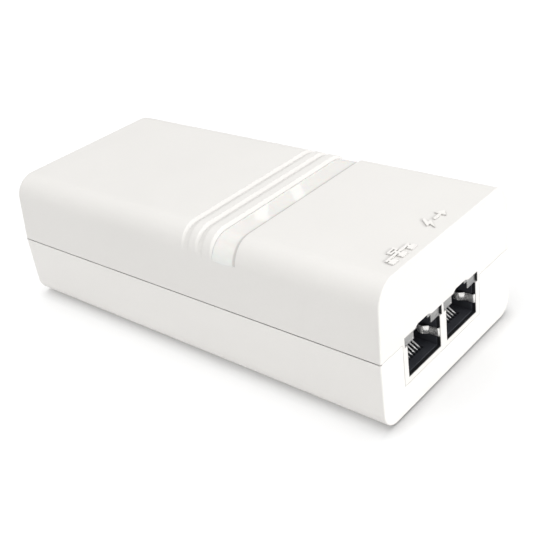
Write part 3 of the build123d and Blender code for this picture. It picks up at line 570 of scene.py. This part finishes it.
# ------------------------------------------------- contact wires, ground springs
# Centre line of a contact wire from front to back: (y, z), mm
WIRE = [
    (-52.92, 8.15), (-53.06, 8.135), (-53.21, 8.16), (-53.34, 8.28), (-53.33, 8.45),
    (-53.10, 8.66), (-52.6, 9.0), (-51.0, 10.02), (-49.0, 11.28), (-47.6, 12.16),
    (-47.1, 12.42), (-46.6, 12.52), (-46.0, 12.52), (-45.3, 12.50),
]
WIRE_COUNT = 8
WIRE_PITCH = 1.016
WIRE_RADIUS, WIRE_END_RADIUS = 0.19, 0.15
WIRE_SIDES = 12

# Centre line of a ground spring from front to back: (distance from the jack's centre, y), mm
SPRING = [
    (6.27, -56.42), (6.24, -56.60), (6.12, -56.74), (5.98, -56.74), (5.88, -56.60),
    (5.84, -56.30), (5.83, -55.4), (5.84, -54.75), (5.80, -54.42), (5.50, -53.98),
    (5.20, -53.58), (5.07, -53.30), (5.02, -52.95), (5.10, -52.5), (5.45, -51.6),
]
SPRING_BOTTOM, SPRING_TOP = 11.1, 13.15
SPRING_HALF = 0.072   # half the strip's thickness
SPRING_CROWN = 0.018  # sideways bow at mid height
SPRING_CHAMFER = 0.06
TIP_STATIONS = 4      # the strip narrows over its last stations
TIP_CUT = 0.45        # taken off top and bottom at the tip

JACK_X = {"lan": -10.55, "poe": 4.3}


def smooth_path(points, per):
    """Catmull-Rom curve through 2-D points, `per` steps to a span."""
    pts = [Vector(p) for p in points]
    pts = [pts[0] * 2 - pts[1]] + pts + [pts[-1] * 2 - pts[-2]]
    path = []
    for a, b, c, d in zip(pts[:-3], pts[1:-2], pts[2:-1], pts[3:]):
        for i in range(per):
            t = i / per
            path.append(0.5 * ((2 * b) + (c - a) * t + (2 * a - 5 * b + 4 * c - d) * t * t
                               + (3 * b - a - 3 * c + d) * t ** 3))
    path.append(pts[-2])
    return path


def side_of(path, j):
    """Unit vector square to the path at point j."""
    along = path[min(j + 1, len(path) - 1)] - path[max(j - 1, 0)]
    along.normalize()
    return Vector((-along.y, along.x))


def wire_mesh(centre_x):
    bm = bmesh.new()
    path = smooth_path(WIRE, per=5)
    for i in range(WIRE_COUNT):
        x = centre_x + (i - (WIRE_COUNT - 1) / 2) * WIRE_PITCH
        rings = []
        for j, p in enumerate(path):
            up = side_of(path, j)
            r = WIRE_RADIUS if 0 < j < len(path) - 1 else WIRE_END_RADIUS
            ring = []
            for k in range(WIRE_SIDES):
                a = 2 * pi * k / WIRE_SIDES
                ring.append((x + r * cos(a), p.x + up.x * r * sin(a), p.y + up.y * r * sin(a)))
            rings.append(ring)
        tube(bm, rings)
    return bm


def spring_mesh(centre_x, sign):
    """Bent strip standing upright; sign is -1 for the -X side of the jack."""
    bm = bmesh.new()
    path = smooth_path(SPRING, per=6)
    last = len(path) - 1
    middle = (SPRING_BOTTOM + SPRING_TOP) / 2
    face = SPRING_HALF
    flat = SPRING_HALF * 0.35
    rings = []
    for j, p in enumerate(path):
        side = side_of(path, j)
        tip = max(0.0, (j - last + TIP_STATIONS) / TIP_STATIONS)
        cut = TIP_CUT * tip * tip
        low, high = SPRING_BOTTOM + cut, SPRING_TOP - cut
        # (z, offset across the strip) around the section
        section = (
            (low + SPRING_CHAMFER, -face), (low, -flat), (low, flat), (low + SPRING_CHAMFER, face),
            (middle, face + SPRING_CROWN),
            (high - SPRING_CHAMFER, face), (high, flat), (high, -flat),
            (high - SPRING_CHAMFER, -face), (middle, -face + SPRING_CROWN),
        )
        rings.append([(centre_x + sign * (p.x + side.x * u), p.y + side.y * u, z)
                      for z, u in section])
    tube(bm, rings)
    return bm


for jack, jack_x in JACK_X.items():
    piece(jack + "_wires", wire_mesh(jack_x), "tin", jack + "_contacts",
          jack + "_contact_springs", smooth_angle=60)
    for side_name, sign in (("left", -1), ("right", 1)):
        piece(jack + "_strip_" + side_name, spring_mesh(jack_x, sign), "nickel_bright",
              jack + "_ground_" + side_name, jack + "_ground_spring_" + side_name,
              smooth_angle=50)


# ---------------------------------------------------------------------- floor
FLOOR_HALF = 4
FLOOR_Z = -0.00002


def backdrop():
    """Faintly glowing white, with a painted contact shadow around the case's foot that is stronger in
    front of the jacks.
    """
    m = Material("backdrop")
    tone = m.mix(m.remap(m.fine(scale=8)), (0.93, 0.93, 0.93), (0.945, 0.945, 0.945))
    front = m.remap(m.position("Y"), start=-56.0 * MM, end=-56.8 * MM, low=0.125, high=0.27)
    # Painted shadow: the floor darkens near the case, more in front of the jacks.
    contact = m.recess(distance=4.0, near=0.5, far=1.0)
    tone = m.mix(m.scaled(contact, by=front), tone, (0.02, 0.02, 0.02))
    m.set(color=tone, rough=0.9, spec=0.1, emit=(1.0, 1.0, 1.0), emit_strength=0.094)


backdrop()
mesh = bpy.data.meshes.new("floor")
corners = [(x * FLOOR_HALF, y * FLOOR_HALF, 0) for x, y in ((-1, -1), (1, -1), (1, 1), (-1, 1))]
mesh.from_pydata(corners, [], [(0, 1, 2, 3)])
ground = bpy.data.objects.new("floor", mesh)
ground.location.z = FLOOR_Z
mesh.materials.append(MATERIALS["backdrop"])
scene.collection.objects.link(ground)

# ---------------------------------------------------------------------- world
# Soft bright sides of the studio tent: direction, cosine where the side begins, gain
LOBES = (
    ((0.0, 0.0, 1.0), 0.7, 1.88),
    ((1.0, 0.0, 0.3), 0.2, 0.65),
    ((-1.0, 0.0, 0.0), 0.0, 0.825),
    ((-0.25, 0.75, 0.75), 0.5, 0.57),
)
TENT_BASE = 0.05      # strength away from every lobe
SEEN_STRENGTH = 1.05  # what the camera sees directly

scene.world = bpy.data.worlds.new("studio")
sky = Graph(scene.world)
view = sky.node("ShaderNodeTexCoord", {})["Generated"]
strength = TENT_BASE
for direction, begin, gain in LOBES:
    toward = sky.dot(view, Vector(direction).normalized())
    lobe = sky.remap(toward, start=begin, end=1.0, high=gain, curve="SMOOTHSTEP")
    strength = sky.add(strength, lobe)
seen = sky.node("ShaderNodeLightPath", {})["Is Camera Ray"]
strength = sky.node("ShaderNodeMix", {"Factor": seen, "A": strength, "B": SEEN_STRENGTH})["Result"]
background = sky.node("ShaderNodeBackground", {"Color": (1.0, 1.0, 1.0), "Strength": strength})
sky.node("ShaderNodeOutputWorld", {"Surface": background["Background"]})


# --------------------------------------------------------------------- lights
def area(name, at, rotation, width, height, power):
    light = bpy.data.lights.new(name, "AREA")
    light.shape = "RECTANGLE"
    light.size = width
    light.size_y = height
    light.energy = power
    obj = bpy.data.objects.new(name, light)
    obj.location = at
    obj.rotation_mode = "QUATERNION"
    obj.rotation_quaternion = rotation
    scene.collection.objects.link(obj)
    return obj


def front_light(name, at, target, **size_and_power):
    """Light aimed at a target that leaves the floor unlit."""
    rotation = (Vector(target) - Vector(at)).to_track_quat("-Z", "Y")
    light = area(name, at, rotation, **size_and_power)
    group = bpy.data.collections.new(light.name + "_receivers")
    group.objects.link(ground)
    group.collection_objects[0].light_linking.link_state = "EXCLUDE"
    light.light_linking.receiver_collection = group


front_light("key", at=(0.10, -1.40, 0.58), target=(0, -0.02, 0.02), width=1.0, height=0.3,
            power=16.0)
front_light("low", at=(0.10, -1.50, 0.12), target=(0, -0.05, 0.02), width=1.6, height=0.25,
            power=1.96)

# Small bright panes reflected in the window band: centre, upward edge, width, height
PANES = (
    ((0.5684, 0.5754, 0.3882), (0.0079, 0.0026, -0.0172), 0.0190, 0.0420),
    ((0.6126, 0.5512, 0.3742), (0.0013, 0.0077, -0.0151), 0.0140, 0.0380),
)
PANE_TARGET = Vector((-0.005, -0.017, 0.034))
PANE_POWER = 1.75     # watts per square metre
for k, (at, up, width, height) in enumerate(PANES):
    z = (Vector(at) - PANE_TARGET).normalized()
    y = (Vector(up) - z * z.dot(Vector(up))).normalized()
    rotation = Matrix((y.cross(z), y, z)).transposed().to_quaternion()
    area("pane_%d" % k, at, rotation, width, height, power=PANE_POWER * width * height)

# --------------------------------------------------------------------- camera
cam = bpy.data.cameras.new("camera")
cam.sensor_width = 36.0
cam.lens = 61.4281576
cam.clip_start = 0.01
cam.clip_end = 20.0
camera = bpy.data.objects.new("camera", cam)
# Columns: the camera's right, up and backward directions, then its place
camera.matrix_world = Matrix((
    (0.638979, 0.453036, -0.621663, -0.139733),
    (-0.758238, 0.234852, -0.608210, -0.141916),
    (-0.129543, 0.860002, 0.493574, 0.122588),
    (0, 0, 0, 1),
))
scene.collection.objects.link(camera)
scene.camera = camera
scene.view_settings.view_transform = "Standard"
scene.view_settings.look = "None"
scene.cycles.max_bounces = 10
scene.cycles.use_denoising = True
